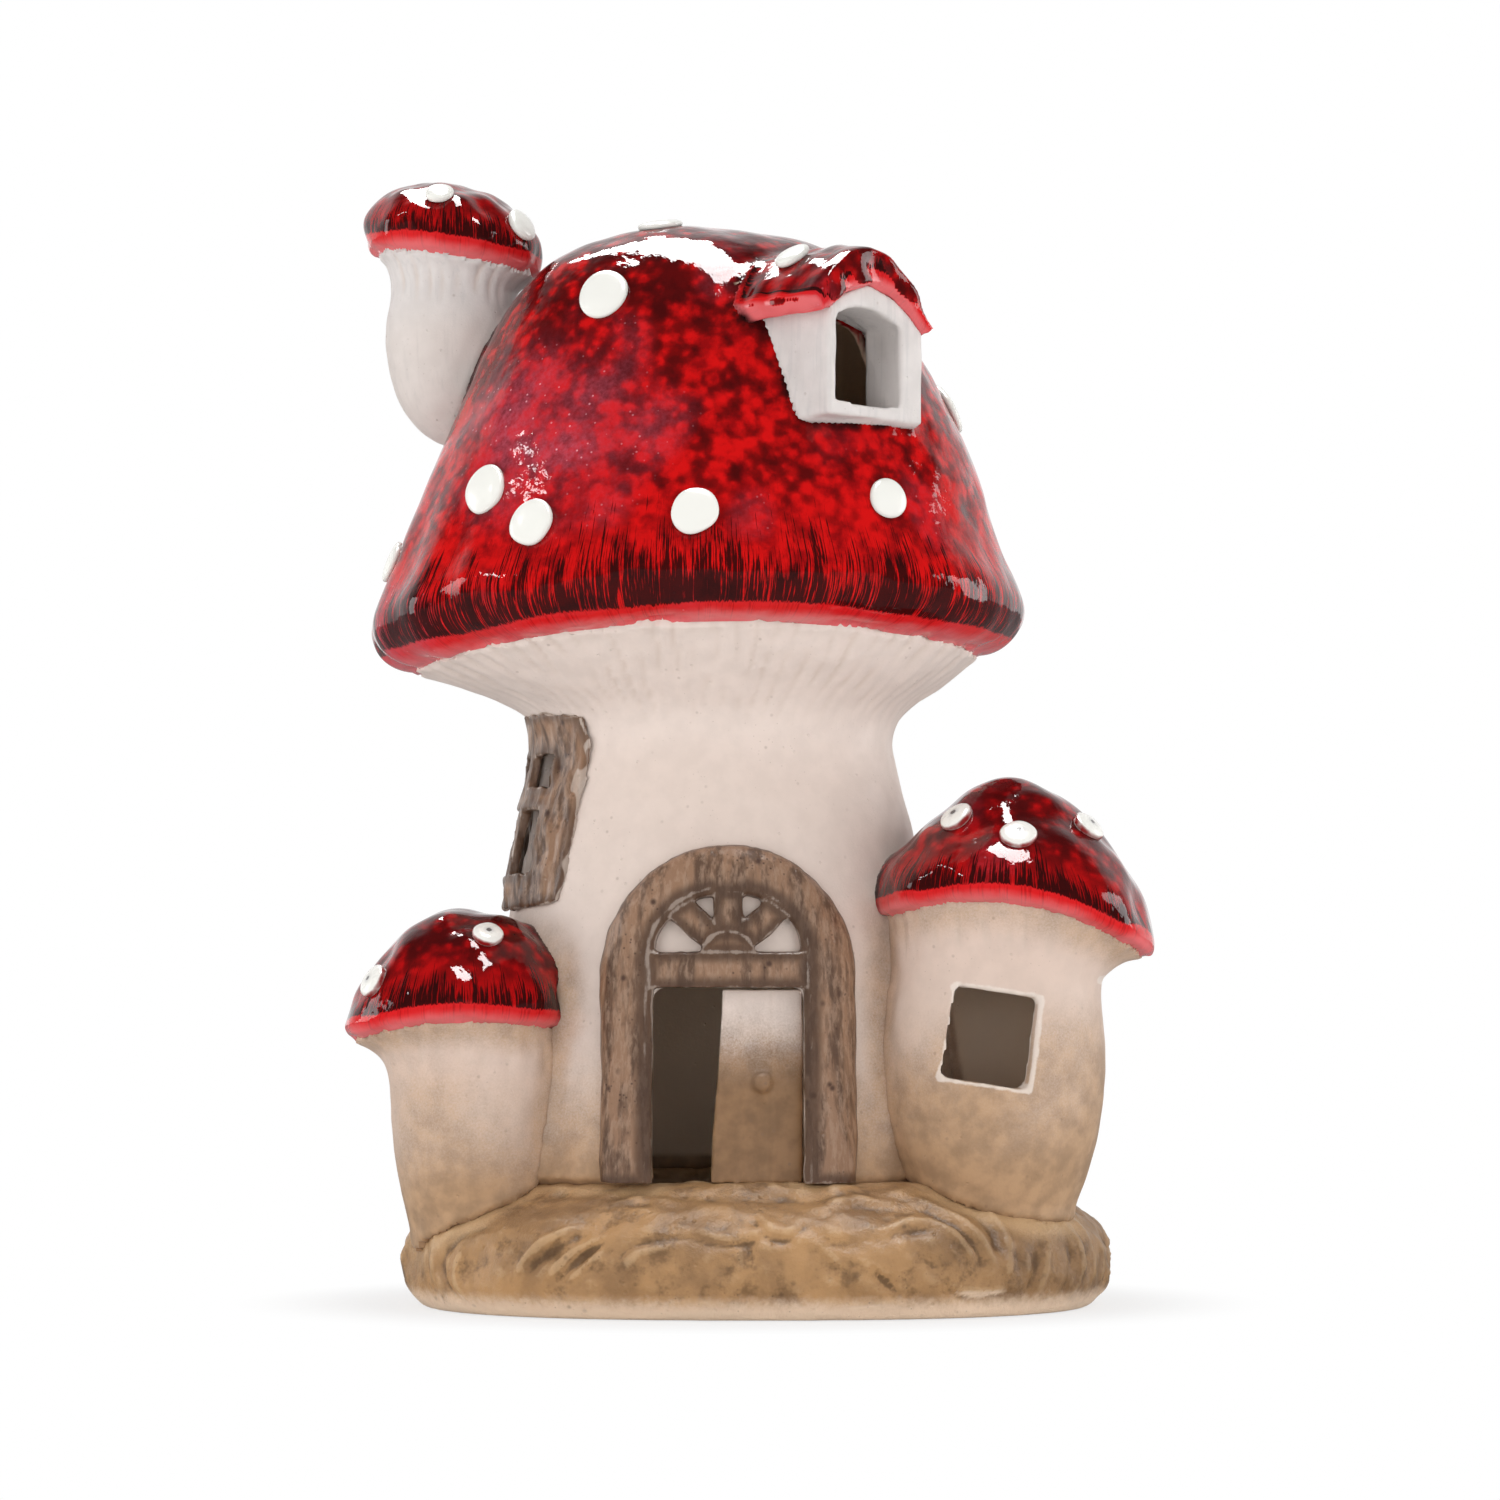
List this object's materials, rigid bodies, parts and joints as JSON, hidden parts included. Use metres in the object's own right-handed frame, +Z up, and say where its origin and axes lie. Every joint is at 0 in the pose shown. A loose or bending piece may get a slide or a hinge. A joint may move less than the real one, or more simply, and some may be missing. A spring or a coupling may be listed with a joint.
{
  "type": "led toadstool house ornament",
  "caption": "Hollow ceramic toadstool house with a glazed spotted cap, arched doorway, dormer, chimney and side toadstools, lit by a battery light unit that seats in its base.",
  "frame": {"origin": "on the floor, in the middle of the ornament's box", "axes": "+Z up, -Y the front with the door, +X to the right as one faces the door"},
  "size_m": [0.184, 0.1268, 0.2618],
  "materials": {
    "red_glaze": "gloss",
    "white_slip": "gloss",
    "cream_ceramic": "matte",
    "white_ceramic": "satin",
    "tan_ceramic": "matte",
    "brown_ceramic": "satin",
    "black_plastic": "satin",
    "grey_rubber": "matte",
    "cell_sleeve": "satin",
    "plated_metal": "polished",
    "circuit_board": "satin",
    "led_lens": "polished",
    "red_lead": "satin",
    "black_lead": "satin"
  },
  "bodies": {
    "house": {"ground_mound": "tan_ceramic", "stalk": "cream_ceramic", "main_cap": "red_glaze", "left_stem": "cream_ceramic", "left_cap": "red_glaze", "right_stem": "cream_ceramic", "right_cap": "red_glaze", "chimney_stem": "white_ceramic", "chimney_cap": "red_glaze", "dormer_walls": "white_ceramic", "dormer_roof": "red_glaze", "door_surround": "brown_ceramic", "door_leaf": "cream_ceramic", "side_window_frame": "brown_ceramic", "cap_spot_1": "white_slip", "cap_spot_2": "white_slip", "cap_spot_3": "white_slip", "cap_spot_4": "white_slip", "cap_spot_5": "white_slip", "cap_spot_6": "white_slip", "cap_spot_7": "white_slip", "cap_spot_8": "white_slip", "cap_spot_9": "white_slip", "cap_spot_10": "white_slip", "cap_spot_11": "white_slip", "cap_spot_12": "white_slip", "cap_spot_13": "white_slip", "left_cap_spot_1": "white_slip", "left_cap_spot_2": "white_slip", "left_cap_spot_3": "white_slip", "right_cap_spot_1": "white_slip", "right_cap_spot_2": "white_slip", "right_cap_spot_3": "white_slip", "right_cap_spot_4": "white_slip", "chimney_cap_spot_1": "white_slip", "chimney_cap_spot_2": "white_slip", "chimney_cap_spot_3": "white_slip", "dormer_roof_spot": "white_slip"},
    "light_unit": {"unit_body": "black_plastic", "unit_lid": "black_plastic", "seal_ring": "grey_rubber", "cell_1": "cell_sleeve", "cell_2": "cell_sleeve", "contact_plate_1": "plated_metal", "contact_plate_2": "plated_metal", "contact_spring_1": "plated_metal", "contact_spring_2": "plated_metal", "circuit_board": "circuit_board", "led_lamp": "led_lens", "switch_body": "plated_metal", "red_lead": "red_lead", "black_lead": "black_lead"},
    "battery_cover": {"battery_cover": "black_plastic"},
    "cover_screw": {"cover_screw": "plated_metal"},
    "switch_knob": {"switch_knob": "black_plastic"}
  },
  "joints": [
    {"name": "light_unit_slide", "type": "slide", "parent": "house", "child": "light_unit", "axis": [0, 0, -1], "range_m": [0, 0.045]},
    {"name": "battery_cover_hinge", "type": "hinge", "parent": "light_unit", "child": "battery_cover", "pos_m": [-0.004, -0.0116, 0.0013], "axis": [-1, 0, 0], "range_deg": [0, 80]},
    {"name": "cover_screw_turn", "type": "hinge", "parent": "battery_cover", "child": "cover_screw", "pos_m": [-0.004, 0.0196, 0.0013], "axis": [0, 0, 1], "continuous": true},
    {"name": "switch_knob_slide", "type": "slide", "parent": "light_unit", "child": "switch_knob", "axis": [1, 0, 0], "range_m": [0, 0.0024]}
  ]
}
